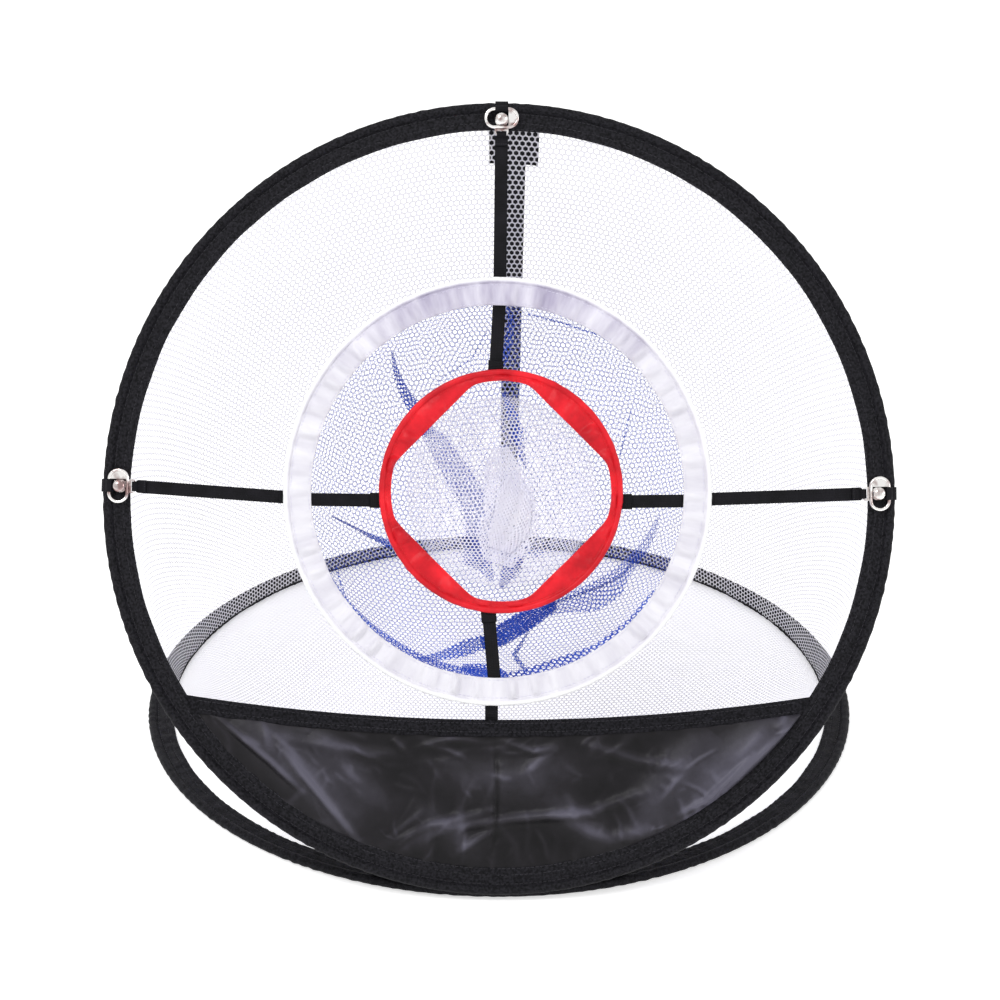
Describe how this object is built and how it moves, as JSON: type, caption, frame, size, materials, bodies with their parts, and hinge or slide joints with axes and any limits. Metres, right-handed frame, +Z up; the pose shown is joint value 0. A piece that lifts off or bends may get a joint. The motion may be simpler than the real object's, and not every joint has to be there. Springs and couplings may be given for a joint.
{
  "type": "golf chipping net",
  "caption": "Freestanding pop-up golf chipping net: a sprung hoop leans back over a base hoop, joined by netting, with a concentric ring target hung in its mouth.",
  "frame": {"origin": "on the floor, at the centre of the overall box", "axes": "+Z up; the player stands at -Y and the mouth faces them; +X is to the player's right"},
  "size_m": [0.5222, 0.5248, 0.4736],
  "materials": {
    "spring_steel": "oiled",
    "ferrule_metal": "crimped",
    "black_sleeve": "satin polyester",
    "black_panel": "glossy polyester",
    "black_binding": "matt tape",
    "black_webbing": "woven webbing",
    "white_mesh": "knitted mesh",
    "nickel": "nickel plated",
    "white_satin": "satin",
    "blue_mesh": "knitted mesh",
    "red_satin": "satin",
    "bag_mesh": "knitted mesh"
  },
  "bodies": {
    "base": {"base_hoop_wire": "spring_steel", "base_hoop_ferrule": "ferrule_metal", "base_hoop_sleeve": "black_sleeve", "back_net_lower": "white_mesh", "floor_net_lower": "white_mesh", "rear_strap_lower": "black_webbing", "rear_strap_tail": "black_webbing", "hinge_gusset": "black_sleeve"},
    "front_frame": {"front_hoop_wire": "spring_steel", "front_hoop_ferrule": "ferrule_metal", "front_hoop_sleeve": "black_sleeve", "front_panel": "black_panel", "panel_binding": "black_binding", "back_net_upper": "white_mesh", "floor_net_upper": "white_mesh", "rear_strap_upper": "black_webbing", "rear_strap_patch": "black_webbing", "top_hoop_tab": "black_webbing", "left_hoop_tab": "black_webbing", "right_hoop_tab": "black_webbing", "top_link": "nickel", "left_link": "nickel", "right_link": "nickel", "top_strap": "black_webbing", "left_strap": "black_webbing", "right_strap": "black_webbing", "bottom_strap": "black_webbing"},
    "target": {"white_ring_wire": "spring_steel", "white_ring_ferrule": "ferrule_metal", "white_ring_sleeve": "white_satin", "blue_net": "blue_mesh", "top_inner_strap": "black_webbing", "left_inner_strap": "black_webbing", "right_inner_strap": "black_webbing", "bottom_inner_strap": "black_webbing"},
    "bullseye": {"red_ring_wire": "spring_steel", "red_ring_ferrule": "ferrule_metal", "red_ring_sleeve": "red_satin", "red_ring_net": "bag_mesh"},
    "top_hook": {"top_hook": "nickel"},
    "left_hook": {"left_hook": "nickel"},
    "right_hook": {"right_hook": "nickel"}
  },
  "joints": [
    {"name": "fold", "type": "hinge", "parent": "base", "child": "front_frame", "pos_m": [0, -0.25443, 0.0029], "axis": [-1, 0, 0], "range_deg": [0, 58], "stiffness_Nm_per_rad": 1, "springref_deg": -51.57, "deforming": ["back_net_upper", "back_net_lower", "floor_net_upper", "floor_net_lower", "rear_strap_upper", "rear_strap_lower", "hinge_gusset"]},
    {"name": "target_give", "type": "slide", "parent": "front_frame", "child": "target", "axis": [0, 0.8988, -0.4384], "range_m": [-0.015, 0.03], "stiffness_N_per_m": 150, "springref_m": -0.0014, "deforming": ["top_strap", "left_strap", "right_strap", "bottom_strap"]},
    {"name": "bullseye_give", "type": "slide", "parent": "target", "child": "bullseye", "axis": [0, 0.8988, -0.4384], "range_m": [-0.01, 0.015], "stiffness_N_per_m": 80, "springref_m": -0.0008, "deforming": ["top_inner_strap", "left_inner_strap", "right_inner_strap", "bottom_inner_strap"]},
    {"name": "top_hook_swing", "type": "hinge", "parent": "front_frame", "child": "top_hook", "pos_m": [0.0017, -0.04489, 0.45975], "axis": [1, -0.0031, -0.0063], "range_deg": [-8, 16]},
    {"name": "left_hook_swing", "type": "hinge", "parent": "front_frame", "child": "left_hook", "pos_m": [-0.24335, -0.1479, 0.24854], "axis": [0.0349, 0.4381, 0.8982], "range_deg": [-8, 16]},
    {"name": "right_hook_swing", "type": "hinge", "parent": "front_frame", "child": "right_hook", "pos_m": [0.24348, -0.15014, 0.24396], "axis": [0.014, -0.4383, -0.8987], "range_deg": [-8, 16]}
  ],
  "couplings": [
    {"joint": "top_hook_swing", "follows": "target_give", "rad_per_m": 9.259},
    {"joint": "left_hook_swing", "follows": "target_give", "rad_per_m": 9.259},
    {"joint": "right_hook_swing", "follows": "target_give", "rad_per_m": 9.259}
  ]
}
